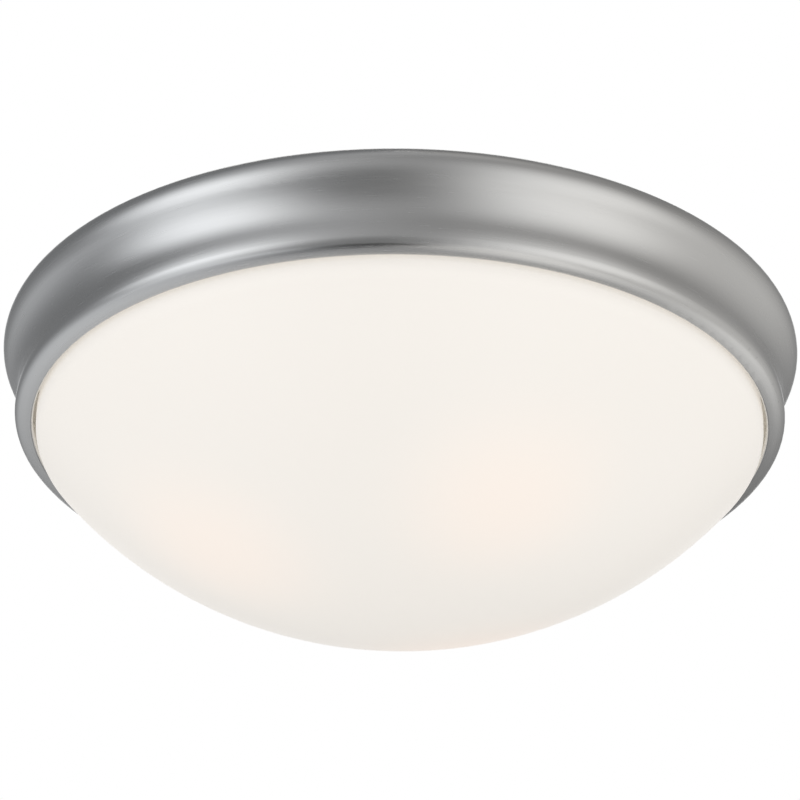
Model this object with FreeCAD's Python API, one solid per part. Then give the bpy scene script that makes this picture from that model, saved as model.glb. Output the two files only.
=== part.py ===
import FreeCAD, Part
import math
import os

# A flush mount ceiling light: a spun steel pan whose rolled rim shows below the ceiling,
# an opal glass dome that hangs in the rim on three leaf spring catches, and three lamps
# lying in porcelain lampholders inside.
# Millimetres. The origin is the centre of the face that lies against the ceiling, +Z is up.

V = FreeCAD.Vector
UP = V(0, 0, 1)

# ---- driving dimensions: pan ---------------------------------------------------------
SHEET = 0.8                    # spun steel
RIM_RADIUS = 190.5             # outermost edge of the bullnose: 15 in across
BULLNOSE_RADIUS = 11.0         # convex roll against the ceiling
BULLNOSE_END = 42.7            # degrees below level where the roll gives way to the cove
COVE_RADIUS = 21.1             # hollow below the bullnose
COVE_END = 12.9                # degrees above level where the cove gives way to the bead
BEAD_UPPER_RADIUS = 26.1       # slow curve of the bead, above its widest line
BEAD_HEIGHT = 7.8              # cove to the widest line of the bead
BEAD_LOWER_RADIUS = 4.7        # quick curve of the bead, below its widest line
BEAD_TURN = 60.5               # degrees below level where the quick curve ends
BEAD_UNDER_RADIUS = 17.3       # slow curve of the bead's underside
BEAD_END = 79.0                # degrees below level where the hem begins
HEM_RADIUS = 1.0               # rolled inner edge
HEM_UPSTAND = 2.0
RECESS = 12.0                  # the back lies this far below the ceiling face
LAND_INNER = 158.0             # inner radius of the flat land against the ceiling
BACK_OUTER = 148.0             # outer radius of the sunk back
STEP_BEND = 3.0
BEAD_RING = (98.0, 107.0)      # stiffening bead pressed into the back
BEAD_RING_RISE = 2.0
WIRE_HOLE = 11.0               # radius of the hole for the supply wires
KEYHOLE = (2.4, 4.9, 9.0)      # half width of the slot, radius of the eye, between centres
BACK_UNDER = -RECESS - SHEET   # height of the back's underside

# ---- driving dimensions: glass -------------------------------------------------------
GLASS_WALL = 3.0
DOME_DEPTH = 141.0             # ceiling to the lowest point of the glass
DOME_RADIUS = 220.2            # crown of the dome
KNUCKLE_RADIUS = 12.0          # shoulder between the crown and the upright skirt
SKIRT_RADIUS = 173.4
NECK_RADIUS = 168.4            # groove that the catches grip
LIP_RADIUS = 172.4
SKIRT_TOP = -45.5
NECK_HEIGHT = -40.0
LIP_HEIGHT = -34.5
GLASS_TOP = -30.5

# ---- driving dimensions: lamps and their holders ------------------------------------
LAMPS = 3
TURN = 360.0 / LAMPS
INSIDE_TURN = 128.0            # the inner parts are set out from this direction, degrees
LAMP_FOOT = 48.7               # direction of the first lamp's nearest point to the centre
LAMP_OFFSET = 60.0             # each lamp lies square to its radius, this far out
LAMP_HEIGHT = -57.0            # height of the lamps' axes
GLOBE_RADIUS = 30.0
GLOBE_PLACE = 12.0             # globe's centre along the lamp's axis
GLOBE_WALL = 1.0
GLOBE_NECK = 12.4
GLOBE_BREAK = 125.0            # degrees from the tip where the ball turns into the neck
CAP_RADIUS = 13.0
CAP_MOUTH = -54.0              # along the lamp, from the globe's centre
CAP_END = -76.5
CAP_FOOT_RADIUS = 9.0          # the cap is turned in to this radius at its end
CAP_SHEET = 0.5
CAP_BEND = 3.0                 # height of the cap's turned-in end
THREAD_PITCH = 25.4 / 7        # standard screw cap: seven threads to the inch
THREAD_DEPTH = 0.8
THREAD_ROUNDING = 1.1
CAP_TURNS = 4
SHELL_TURNS = 6
THREAD_START = CAP_END + CAP_BEND + CAP_TURNS * THREAD_PITCH  # from the globe's centre
INSULATOR_END = -79.5
CONTACT_END = -81.0
CONTACT_RADIUS = 4.8
HOLDER_MOUTH = -42.0           # along the lamp's axis
HOLDER_FLOOR = -72.0
HOLDER_REAR = -80.0
HOLDER_RADIUS = 17.0
HOLDER_END_RADIUS = 16.0
COLLAR_RADIUS = 19.2
HOLDER_BORE = 14.6
REAR_SCREW_RADIUS = 1.9        # screw from the bracket into the porcelain
SHELL_SHEET = 0.4
SHELL_FOOT_RADIUS = 9.0
CONTACT_SHEET = 0.4
CONTACT_WIDTH = 6.0
CONTACT_RISE = 2.1             # sprung tongue above the holder's floor
BRACKET_SHEET = 1.2
BRACKET_WIDTH = 16.0
BRACKET_FOOT = 24.0
FOOT_RIVETS = (-72.0, -61.0)   # along the lamp's axis
LEAD_HOLE_PLACE = -76.0
LEAD_HOLE_SIDE = 10.0
LEAD_HOLE_DEPTH = 8.0

# ---- driving dimensions: wiring, fixings and catches ---------------------------------
LEAD_RADIUS = 1.2
LEAD_LEVELS = (-17.0, -19.6, -22.2)
BLOCK_PLACE = 38.0             # centre of the terminal block from the axis
BLOCK_LENGTH = 22.0
BLOCK_WIDTH = 30.0
BLOCK_HEIGHT = 16.0
POLE_SIDE = 9.0
CAGE_WALL = 0.8
CAGE_SLOT = 3.0
CAGE_SPAN = (-8.0, 6.0)        # ends of each cage, from the middle of the block
POLE_SCREWS = (-4.5, 2.5)      # clamping screws of each cage, from the middle of the block
POLE_SCREW_RADIUS = 1.5
POLE_SCREW_LENGTH = 3.4
POLE_SHAFT_RADIUS = 2.3        # screwdriver shaft in the porcelain
BLOCK_SCREW_RADIUS = 1.5       # screw that holds the block to the pan
BLOCK_SCREW_HEAD = 3.0
BLOCK_SCREW_SEAT = 6.0         # height of its head's seat above the block's face
CLIP_PLACE = (21.15, 62.3)     # a lead clip's middle, on the second and third pairs of leads
CLIP_RUN = (40.0, 14.0)        # direction of the leads there
CLIP_BORE_SIDE = 3.5
RIVET_RADIUS = 1.6
RIVET_HEAD = (2.8, 1.0)        # radius and rise of the factory head, above the back
RIVET_TAIL = (3.0, 0.9)        # radius and rise of the closed head, below
RIVET_TAIL_RIM = 0.3
BAR_THICKNESS = 2.0
BAR_HALF_LENGTH = 57.0
BAR_WIDTH = 16.0
BAR_EYE = (17.0, 9.5)          # outer and inner radius of the eye round the wires
BOX_SCREW_SPACING = 88.9       # standard ceiling box, 3 1/2 in
BOX_SLOT = (14.0, 4.8)         # length and width of each box screw slot
MOUNT_SCREW_SIDE = 27.0
MOUNT_SCREW_RADIUS = 2.08
MOUNT_HEAD_RADIUS = 4.1
GROUND_PLACE = -13.3           # ground screw, on the eye
GROUND_RADIUS = 1.8
GROUND_WASHER = (4.4, 0.7)     # radius and thickness of the washer face
GROUND_HEAD = (3.7, 3.2)       # corner radius of the hexagon, its height below the bar
CROSS_SLOT = 0.45              # half width of a cross recess
BUSHING_BORE = 8.5
BUSHING_FLANGE = (14.0, 1.8)   # radius and thickness
BUSHING_BARB = (1.0, 3.0)      # reach over the edge of the hole, height above the back
PAD_RADII = (60.0, 145.0)
PAD_TOP = -1.5
PAD_EDGE = 2.5                 # rounding of its outer edges
CATCH_SHEET = 0.6
CATCH_WIDTH = 14.0
CATCH_FIRST = 30.0             # direction of the first catch, degrees
CATCH_RIVETS = (132.0, 140.0)
CATCH_FOOT = (128.0, 148.0)    # inner end and outer bend of the foot
CATCH_LEG = (176.5, -25.0, -34.5)  # radius of the leg, heights of its two ends
CATCH_NOSE = 169.6             # radius the nose reaches, in the glass's groove
CATCH_TAIL = -45.6
CLEARANCE = 0.1
SCREW_FIT = 0.02               # between a thread and its hole


# ---- drawing helpers -----------------------------------------------------------------
def point(radius, height):
    return V(radius, 0, height)


def polar(radius, degrees, height=0.0):
    angle = math.radians(degrees)
    return V(radius * math.cos(angle), radius * math.sin(angle), height)


class Pen:
    """Draws an outline in the XZ plane, one run after another."""

    def __init__(self, radius, height):
        self.start = point(radius, height)
        self.at = self.start
        self.edges = []

    def line(self, radius, height):
        end = point(radius, height)
        self.edges.append(Part.LineSegment(self.at, end).toShape())
        self.at = end
        return self

    def arc(self, centre, end, clockwise=True):
        """A circular arc about centre; clockwise with X to the right and Z up."""
        middle = point(*centre)
        finish = point(*end)
        radius = (self.at - middle).Length
        first = math.atan2(self.at.z - middle.z, self.at.x - middle.x)
        last = math.atan2(finish.z - middle.z, finish.x - middle.x)
        if clockwise and last > first:
            last -= 2 * math.pi
        if not clockwise and last < first:
            last += 2 * math.pi
        half = (first + last) / 2
        through = middle + V(radius * math.cos(half), 0, radius * math.sin(half))
        self.edges.append(Part.Arc(self.at, through, finish).toShape())
        self.at = finish
        return self

    def follow(self, edges):
        self.edges.extend(edges)
        self.at = edges[-1].Vertexes[-1].Point
        return self

    def close(self):
        return self.line(self.start.x, self.start.z)


def rounded(points, radii):
    """Straight runs between the points, with a tangent arc of the given radius at each corner."""
    edges = []
    at = points[0]
    for corner, following, radius in zip(points[1:-1], points[2:], radii):
        before = (corner - at).normalize()
        after = (following - corner).normalize()
        turn = before.getAngle(after)
        back = radius * math.tan(turn / 2)
        begin = corner - before * back
        end = corner + after * back
        middle = (after - before).normalize()
        through = corner + middle * (radius / math.cos(turn / 2) - radius)
        edges.append(Part.LineSegment(at, begin).toShape())
        edges.append(Part.Arc(begin, through, end).toShape())
        at = end
    edges.append(Part.LineSegment(at, points[-1]).toShape())
    return edges


def turned(edges):
    """A solid of revolution about Z from a closed outline."""
    return Part.Face(Part.Wire(edges)).revolve(V(0, 0, 0), UP, 360)


def sheet_section(edges, thickness):
    """The closed section of a sheet to the right of an open path, or left if it is negative."""
    return Part.Wire(edges).makeOffset2D(-thickness, 0, True, True, False)


def spun(edges, thickness):
    return sheet_section(edges, thickness).revolve(V(0, 0, 0), UP, 360)


def strip(edges, thickness, width):
    """A bent strip of even width, centred on the XZ plane."""
    band = sheet_section(edges, thickness)
    band.translate(V(0, -width / 2, 0))
    return band.extrude(V(0, width, 0))


def rod(start, end, radius):
    along = end - start
    return Part.makeCylinder(radius, along.Length, start, along)


def box(low, high):
    size = high - low
    return Part.makeBox(size.x, size.y, size.z, low)


def turned_about_z(shape, degrees):
    copy = shape.copy()
    copy.rotate(V(0, 0, 0), UP, degrees)
    return copy


def inside(shape, extra=0.0):
    """Turns a piece from the direction it is drawn in to its place in the pan."""
    return turned_about_z(shape, INSIDE_TURN + extra)


def laid_down(shape):
    """Turns a piece that is drawn standing along Z so that it lies along X."""
    copy = shape.copy()
    copy.rotate(V(0, 0, 0), V(0, 1, 0), 90)
    return copy


def at_lamp(shape, number):
    """Moves a piece drawn along X, on the lamp's axis, to lamp number 0, 1 or 2."""
    direction = LAMP_FOOT + INSIDE_TURN + number * TURN
    placed = turned_about_z(shape, direction + 90)
    placed.translate(polar(LAMP_OFFSET, direction, LAMP_HEIGHT))
    return placed


def save(node, *shapes):
    shape = shapes[0] if len(shapes) == 1 else Part.makeCompound(list(shapes))
    shape.exportStep(os.path.join("parts", node + ".step"))
    print(node, "solids", len(shape.Solids), "volume cm3", round(shape.Volume / 1000, 2))


def cap_ball(foot_radius, rise):
    """Radius of the ball whose cap has this foot radius and rise."""
    return (foot_radius ** 2 + rise ** 2) / (2 * rise)


# ---- pan -----------------------------------------------------------------------------
def back_path():
    """The sunk back from the wire hole outwards, with its stiffening bead, up to the land."""
    low, high = -RECESS, -RECESS + BEAD_RING_RISE
    inner, outer = BEAD_RING
    points = [
        point(WIRE_HOLE, low),
        point(inner, low),
        point(inner + BEAD_RING_RISE, high),
        point(outer - BEAD_RING_RISE, high),
        point(outer, low),
        point(BACK_OUTER, low),
        point(LAND_INNER, 0),
        point(RIM_RADIUS - BULLNOSE_RADIUS, 0),
    ]
    return rounded(points, [1.2, 1.2, 1.2, 1.2, STEP_BEND, STEP_BEND])


def past(place, radius, degrees):
    """The place that lies this far from another, in a direction above or below level."""
    angle = math.radians(degrees)
    return (place[0] + radius * math.cos(angle), place[1] + radius * math.sin(angle))


def rim_path():
    """The land, bullnose, cove, bead and hem, in the order the sheet runs."""
    roll_centre = (RIM_RADIUS - BULLNOSE_RADIUS, -BULLNOSE_RADIUS)
    roll_end = past(roll_centre, BULLNOSE_RADIUS, -BULLNOSE_END)
    cove_centre = past(roll_end, COVE_RADIUS, -BULLNOSE_END)
    cove_end = past(cove_centre, -COVE_RADIUS, COVE_END)
    bulge = BEAD_UPPER_RADIUS - math.sqrt(BEAD_UPPER_RADIUS ** 2 - BEAD_HEIGHT ** 2)
    widest = (cove_end[0] + bulge, cove_end[1] - BEAD_HEIGHT)
    turn_centre = (widest[0] - BEAD_LOWER_RADIUS, widest[1])
    turn_end = past(turn_centre, BEAD_LOWER_RADIUS, -BEAD_TURN)
    under_centre = past(turn_end, -BEAD_UNDER_RADIUS, -BEAD_TURN)
    under_end = past(under_centre, BEAD_UNDER_RADIUS, -BEAD_END)
    hem_centre = past(under_end, -HEM_RADIUS, -BEAD_END)
    opening = hem_centre[0] - HEM_RADIUS
    print("  rim: cove to bead", [round(c, 2) for c in cove_end], "widest",
          [round(c, 2) for c in widest], "opening", round(opening, 2),
          "lowest", round(hem_centre[1] - HEM_RADIUS, 2))
    pen = Pen(roll_centre[0], 0)
    pen.arc(roll_centre, roll_end)
    pen.arc(cove_centre, cove_end, clockwise=False)
    pen.arc((widest[0] - BEAD_UPPER_RADIUS, widest[1]), widest)
    pen.arc(turn_centre, turn_end)
    pen.arc(under_centre, under_end)
    pen.arc(hem_centre, (opening, hem_centre[1]))
    pen.line(opening, hem_centre[1] + HEM_UPSTAND)
    return pen.edges


def key_slot(side):
    """A keyhole in the back: the screw head passes the round end, then the pan is turned."""
    half_width, eye, between = KEYHOLE
    x = side * MOUNT_SCREW_SIDE
    reach = side * between
    low, high = BACK_UNDER - 1, -RECESS + 1
    slot = box(V(x - half_width, min(0, reach), low), V(x + half_width, max(0, reach), high))
    narrow_end = hole(x, 0, half_width, low, high)
    wide_end = hole(x, reach, eye, low, high)
    return slot.fuse([narrow_end, wide_end])


def rivet(x, y, under):
    """A rivet through the back and what hangs from it; under is that piece's underside."""
    upper, upper_rise = RIVET_HEAD
    lower, lower_rise = RIVET_TAIL
    pen = Pen(0, -RECESS + upper_rise)
    pen.arc((0, -RECESS + upper_rise - cap_ball(upper, upper_rise)), (upper, -RECESS))
    pen.line(RIVET_RADIUS, -RECESS).line(RIVET_RADIUS, under).line(lower, under)
    pen.line(lower, under - RIVET_TAIL_RIM)
    tip = under - RIVET_TAIL_RIM - lower_rise
    pen.arc((0, tip + cap_ball(lower, lower_rise)), (0, tip)).close()
    solid = turned(pen.edges)
    solid.translate(V(x, y, 0))
    return solid


def hole(x, y, radius, low, high):
    return Part.makeCylinder(radius, high - low, V(x, y, low))


def bracket_rivet_places():
    places = []
    for number in range(LAMPS):
        for along in FOOT_RIVETS:
            spot = at_lamp(Part.Vertex(V(along, 0, 0)), number).Point
            places.append((spot.x, spot.y))
    return places


def catch_rivet_places():
    places = []
    for number in range(LAMPS):
        for radius in CATCH_RIVETS:
            spot = polar(radius, INSIDE_TURN + CATCH_FIRST + number * TURN)
            places.append((spot.x, spot.y))
    return places


def block_screw_place():
    return polar(BLOCK_PLACE, INSIDE_TURN)


def make_pan():
    pan = spun(back_path() + rim_path(), SHEET)
    cuts = [key_slot(1), key_slot(-1)]
    for x, y in bracket_rivet_places() + catch_rivet_places():
        cuts.append(hole(x, y, RIVET_RADIUS + CLEARANCE / 2, BACK_UNDER - 1, -RECESS + 1))
    spot = block_screw_place()
    bore = BLOCK_SCREW_RADIUS + CLEARANCE / 2
    cuts.append(hole(spot.x, spot.y, bore, BACK_UNDER - 1, -RECESS + 1))
    return pan.cut(cuts)


# ---- what fastens the pan to the ceiling ---------------------------------------------
def make_crossbar():
    half = BAR_WIDTH / 2
    straight = BAR_HALF_LENGTH - half
    arms = box(V(-straight, -half, -BAR_THICKNESS), V(straight, half, 0))
    ends = [hole(side * straight, 0, half, -BAR_THICKNESS, 0) for side in (-1, 1)]
    eye = hole(0, 0, BAR_EYE[0], -BAR_THICKNESS, 0)
    bar = arms.fuse(ends + [eye]).removeSplitter()
    cuts = [hole(0, 0, BAR_EYE[1], -BAR_THICKNESS, 0)]
    length, width = BOX_SLOT
    run = (length - width) / 2
    for side in (-1, 1):
        x = side * BOX_SCREW_SPACING / 2
        cuts.append(box(V(x - run, -width / 2, -BAR_THICKNESS), V(x + run, width / 2, 0)))
        cuts.append(hole(x - run, 0, width / 2, -BAR_THICKNESS, 0))
        cuts.append(hole(x + run, 0, width / 2, -BAR_THICKNESS, 0))
        bore = MOUNT_SCREW_RADIUS + SCREW_FIT
        cuts.append(hole(side * MOUNT_SCREW_SIDE, 0, bore, -BAR_THICKNESS, 0))
    cuts.append(hole(0, GROUND_PLACE, GROUND_RADIUS + SCREW_FIT, -BAR_THICKNESS, 0))
    return bar.cut(cuts)


def cross_recess(x, y, face, size, depth):
    """Two crossed slots, cut upwards into a screw head that faces down."""
    half = CROSS_SLOT
    long_way = box(V(x - size, y - half, face), V(x + size, y + half, face + depth))
    wide_way = box(V(x - half, y - size, face), V(x + half, y + size, face + depth))
    return long_way.fuse(wide_way)


def pan_head_screw(x, y, seat, tip, shank, head, rise):
    """A screw driven upwards: head below the seat, shank up to the tip."""
    ball = cap_ball(head, rise * 0.6)
    pen = Pen(0, tip)
    pen.line(shank - 0.4, tip).line(shank, tip - 0.4).line(shank, seat).line(head, seat)
    pen.line(head, seat - rise * 0.4)
    pen.arc((0, seat - rise + ball), (0, seat - rise)).close()
    screw = turned(pen.edges)
    screw.translate(V(x, y, 0))
    return screw.cut(cross_recess(x, y, seat - rise, head * 0.55, 1.3))


def make_mounting_screws():
    screws = []
    for side in (-1, 1):
        x = side * MOUNT_SCREW_SIDE
        args = (x, 0, BACK_UNDER, -0.2, MOUNT_SCREW_RADIUS, MOUNT_HEAD_RADIUS, 2.6)
        screws.append(pan_head_screw(*args))
    return screws


def make_ground_screw():
    """Hexagon washer head screw on the eye of the crossbar."""
    seat = -BAR_THICKNESS
    washer_radius, washer_thickness = GROUND_WASHER
    corner_radius, height = GROUND_HEAD
    face = seat - height
    washer = hole(0, GROUND_PLACE, washer_radius, seat - washer_thickness, seat)
    corners = [polar(corner_radius, 60 * i, face) + V(0, GROUND_PLACE, 0) for i in range(7)]
    hexagon = Part.Face(Part.makePolygon(corners)).extrude(V(0, 0, height - washer_thickness))
    shank = hole(0, GROUND_PLACE, GROUND_RADIUS, seat, -0.2)
    screw = washer.fuse([hexagon, shank])
    return screw.cut(cross_recess(0, GROUND_PLACE, face, 2.2, 1.2)).removeSplitter()


def make_insulation_pad():
    inner, outer = PAD_RADII
    low = -RECESS + BEAD_RING_RISE
    bend = outer - PAD_EDGE
    pen = Pen(inner, low)
    pen.line(bend, low)
    pen.arc((bend, low + PAD_EDGE), (outer, low + PAD_EDGE), clockwise=False)
    pen.line(outer, PAD_TOP - PAD_EDGE)
    pen.arc((bend, PAD_TOP - PAD_EDGE), (bend, PAD_TOP), clockwise=False)
    pen.line(inner, PAD_TOP).close()
    return turned(pen.edges)


def make_wire_bushing():
    """Snap-in bushing: flange below the back, sleeve through it and a barbed collar above."""
    bore, sleeve = BUSHING_BORE, WIRE_HOLE - CLEARANCE
    flange, thickness = BUSHING_FLANGE
    barb, top = BUSHING_BARB[0], -RECESS + BUSHING_BARB[1]
    low = BACK_UNDER - thickness
    bend = 0.8
    pen = Pen(bore, low + bend)
    pen.arc((bore + bend, low + bend), (bore + bend, low), clockwise=False)
    pen.line(flange - bend, low)
    pen.arc((flange - bend, low + bend), (flange, low + bend), clockwise=False)
    pen.line(flange, BACK_UNDER).line(sleeve, BACK_UNDER).line(sleeve, -RECESS)
    pen.line(sleeve + barb, -RECESS).line(sleeve - 0.3, top).line(bore, top)
    pen.close()
    return turned(pen.edges)


# ---- terminal block and leads --------------------------------------------------------
def cage_heights():
    """Lowest and highest point of the space inside a terminal cage."""
    low = LEAD_LEVELS[-1] - LEAD_RADIUS - 0.3
    high = LEAD_LEVELS[0] + LEAD_RADIUS + 0.2
    return low, high


def make_terminal_cage(side):
    """Bent brass cage round one pole's leads, open at both ends."""
    low, high = cage_heights()
    first, last = BLOCK_PLACE + CAGE_SPAN[0], BLOCK_PLACE + CAGE_SPAN[1]
    half = CAGE_SLOT / 2
    wide = half + CAGE_WALL
    y = side * POLE_SIDE
    outer = box(V(first, y - wide, low - CAGE_WALL), V(last, y + wide, high + CAGE_WALL))
    cuts = [box(V(first, y - half, low), V(last, y + half, high))]
    bore = POLE_SCREW_RADIUS + SCREW_FIT
    for along in POLE_SCREWS:
        cuts.append(hole(BLOCK_PLACE + along, y, bore, low - CAGE_WALL, low))
    return outer.cut(cuts)


def make_terminal_block():
    """Porcelain block with a pocket for each cage, wire ways and screwdriver shafts."""
    low, high = cage_heights()
    first, last = BLOCK_PLACE - BLOCK_LENGTH / 2, BLOCK_PLACE + BLOCK_LENGTH / 2
    half_width = BLOCK_WIDTH / 2
    bottom = BACK_UNDER - BLOCK_HEIGHT
    body = box(V(first, -half_width, bottom), V(last, half_width, BACK_UNDER))
    upright = [e for e in body.Edges if abs(e.tangentAt(e.FirstParameter).z) > 0.9]
    body = body.makeFillet(2.0, upright)
    gap = CLEARANCE / 2
    half = CAGE_SLOT / 2
    wide = half + CAGE_WALL + gap
    pocket_first = BLOCK_PLACE + CAGE_SPAN[0] - gap
    pocket_last = BLOCK_PLACE + CAGE_SPAN[1] + gap
    pocket_low = low - CAGE_WALL - gap
    pocket_high = high + CAGE_WALL + gap
    cuts = []
    for side in (-1, 1):
        y = side * POLE_SIDE
        pocket = box(V(pocket_first, y - wide, pocket_low), V(pocket_last, y + wide, pocket_high))
        wire_way = box(V(first, y - half, low), V(last, y + half, high))
        cuts += [pocket, wire_way]
        for along in POLE_SCREWS:
            cuts.append(hole(BLOCK_PLACE + along, y, POLE_SHAFT_RADIUS, bottom, low))
    seat = bottom + BLOCK_SCREW_SEAT
    cuts.append(hole(BLOCK_PLACE, 0, BLOCK_SCREW_RADIUS + CLEARANCE, bottom, BACK_UNDER))
    cuts.append(hole(BLOCK_PLACE, 0, BLOCK_SCREW_HEAD + 0.3, bottom, seat))
    return body.cut(cuts)


def make_terminal_screws():
    """Slotted grub screws that clamp the leads in the cages."""
    tip = cage_heights()[0]
    face = tip - POLE_SCREW_LENGTH
    screws = []
    for side in (-1, 1):
        for along in POLE_SCREWS:
            x, y = BLOCK_PLACE + along, side * POLE_SIDE
            screw = hole(x, y, POLE_SCREW_RADIUS, face, tip)
            slot = box(V(x - 2, y - 0.25, face), V(x + 2, y + 0.25, face + 0.8))
            screws.append(screw.cut(slot))
    return screws


def make_block_fixing_screw():
    seat = BACK_UNDER - BLOCK_HEIGHT + BLOCK_SCREW_SEAT
    tip = -RECESS + 1.6
    return pan_head_screw(BLOCK_PLACE, 0, seat, tip, BLOCK_SCREW_RADIUS, BLOCK_SCREW_HEAD, 2.0)


def lead_start(number, side):
    """Where a lead leaves its lampholder, seen from below: side 1 is the side nearer the centre."""
    spot = V(LEAD_HOLE_PLACE, side * LEAD_HOLE_SIDE, 0)
    placed = at_lamp(Part.Vertex(spot), number).Point
    back = turned_about_z(Part.Vertex(placed), -INSIDE_TURN).Point
    return back.x, back.y


# Each route: lampholder, side of the lampholder, pole of the block, and the corners between
# them, chosen by hand so that no lead crosses another at its own level.
LEAD_ROUTES = {
    "live_lead_1": (0, 1, -1, [(66, -9)]),
    "neutral_lead_1": (0, -1, 1, [(84, 9)]),
    "live_lead_2": (1, 1, -1, [(2.3, 72.6), (42.3, 58.6), (74, 36), (74, -9)]),
    "neutral_lead_2": (1, -1, 1, [(-44, 77), (0, 66), (40, 52), (64, 32), (64, 9)]),
    "live_lead_3": (2, 1, -1, [(-30, -64), (0, -66), (40, -52), (64, -32), (64, -9)]),
    "neutral_lead_3": (2, -1, 1, [(-22, -86), (2.3, -72.6), (42.3, -58.6), (74, -36), (74, 9)]),
}
LEAD_END = BLOCK_PLACE + 3.0


def lead_points(number, side, pole, corners):
    x, y = lead_start(number, side)
    level = LEAD_LEVELS[number]
    surface = math.sqrt(HOLDER_END_RADIUS ** 2 - LEAD_HOLE_SIDE ** 2)
    foot = LAMP_HEIGHT + surface - LEAD_HOLE_DEPTH + 1.0
    points = [V(x, y, foot), V(x, y, level)]
    points += [V(cx, cy, level) for cx, cy in corners]
    points.append(V(LEAD_END, pole * POLE_SIDE, level))
    return points


def corner_radii(points):
    """As large an arc at each corner as its two runs allow."""
    radii = []
    for a, b, c in zip(points, points[1:], points[2:]):
        before, after = b - a, c - b
        turn = before.getAngle(after)
        shorter = min(before.Length, after.Length)
        radii.append(0.45 * shorter / math.tan(turn / 2))
    return radii


def make_lead(points):
    radii = corner_radii(points)
    path = Part.Wire(rounded(points, radii))
    circle = Part.Wire(Part.makeCircle(LEAD_RADIUS, points[0], points[1] - points[0]))
    tube = path.makePipeShell([circle], True, False)
    expected = math.pi * LEAD_RADIUS ** 2 * path.Length
    print("  lead radii", [round(r, 1) for r in radii], "length", round(path.Length, 1),
          "volume share", round(tube.Volume / expected, 4))
    return tube


def make_lead_clip(number):
    """A saddle on the back of the pan with two holes for a lampholder's pair of leads."""
    side = 1 if number == 1 else -1
    level = LEAD_LEVELS[number]
    low = level - LEAD_RADIUS - 1.6
    saddle = box(V(-3.5, -7, low), V(3.5, 7, BACK_UNDER - 1.4))
    saddle = saddle.makeFillet(1.2, [e for e in saddle.Edges if e.BoundBox.ZMax < low + 0.1])
    base = box(V(-5, -9, BACK_UNDER - 1.5), V(5, 9, BACK_UNDER))
    clip = base.fuse(saddle)
    bores = []
    for y in (-CLIP_BORE_SIDE, CLIP_BORE_SIDE):
        bores.append(rod(V(-6, y, level), V(6, y, level), LEAD_RADIUS + CLEARANCE))
    clip = clip.cut(bores)
    along, across = CLIP_RUN
    clip.rotate(V(0, 0, 0), UP, math.degrees(math.atan2(-across * side, along)))
    clip.translate(V(CLIP_PLACE[0], side * CLIP_PLACE[1], 0))
    return clip


# ---- lampholders ---------------------------------------------------------------------
def thread(crest, first, turns):
    """Corners of a rolled thread's outline: crest and root in turn, and a crest at each end."""
    corners = []
    for step in range(2 * turns + 1):
        radius = crest - THREAD_DEPTH * (step % 2)
        corners.append(point(radius, first - step * THREAD_PITCH / 2))
    return corners


def make_holder_body():
    """Glazed porcelain body with its bore, drawn along X on the lamp's axis."""
    mouth, floor, rear = HOLDER_MOUTH, HOLDER_FLOOR, HOLDER_REAR
    pen = Pen(0, rear)
    pen.line(HOLDER_END_RADIUS - 2, rear)
    pen.arc((HOLDER_END_RADIUS - 2, rear + 2), (HOLDER_END_RADIUS, rear + 2), clockwise=False)
    pen.line(HOLDER_RADIUS, mouth - 9.0).line(COLLAR_RADIUS - 1.2, mouth - 7.0)
    pen.arc((COLLAR_RADIUS - 1.2, mouth - 5.8), (COLLAR_RADIUS, mouth - 5.8), clockwise=False)
    pen.line(COLLAR_RADIUS, mouth - 1.5)
    pen.arc((COLLAR_RADIUS - 1.5, mouth - 1.5), (COLLAR_RADIUS - 1.5, mouth), clockwise=False)
    pen.line(HOLDER_BORE + 1.4, mouth).line(HOLDER_BORE, mouth - 2.4)
    pen.line(HOLDER_BORE, floor).line(0, floor).close()
    body = laid_down(turned(pen.edges))
    cuts = [rod(V(rear, 0, 0), V(rear + 6, 0, 0), REAR_SCREW_RADIUS + SCREW_FIT)]
    surface = math.sqrt(HOLDER_END_RADIUS ** 2 - LEAD_HOLE_SIDE ** 2)
    for side in (-1, 1):
        foot = V(LEAD_HOLE_PLACE, side * LEAD_HOLE_SIDE, surface - LEAD_HOLE_DEPTH)
        cuts.append(rod(foot, foot + V(0, 0, LEAD_HOLE_DEPTH + 3), LEAD_RADIUS + CLEARANCE))
    return body.cut(cuts)


def make_screw_shell():
    """Plated brass shell: rolled thread, and an inward foot on the porcelain floor."""
    outer = HOLDER_BORE - CLEARANCE / 2
    corners = thread(outer, GLOBE_PLACE + THREAD_START, SHELL_TURNS)
    points = [
        point(outer, HOLDER_MOUTH - 3.0),
        *corners,
        point(outer, HOLDER_FLOOR),
        point(SHELL_FOOT_RADIUS, HOLDER_FLOOR),
    ]
    radii = [THREAD_ROUNDING] * len(corners) + [1.0]
    return laid_down(spun(rounded(points, radii), SHELL_SHEET))


def make_centre_contact():
    """Sprung bronze tongue on the floor of the holder, under the lamp's contact."""
    raised = HOLDER_FLOOR + CONTACT_RISE
    points = [V(raised, 0, -3.5), V(raised, 0, 0), V(HOLDER_FLOOR, 0, 3.5), V(HOLDER_FLOOR, 0, 6.5)]
    return strip(rounded(points, [1.0, 1.0]), CONTACT_SHEET, CONTACT_WIDTH)


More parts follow.
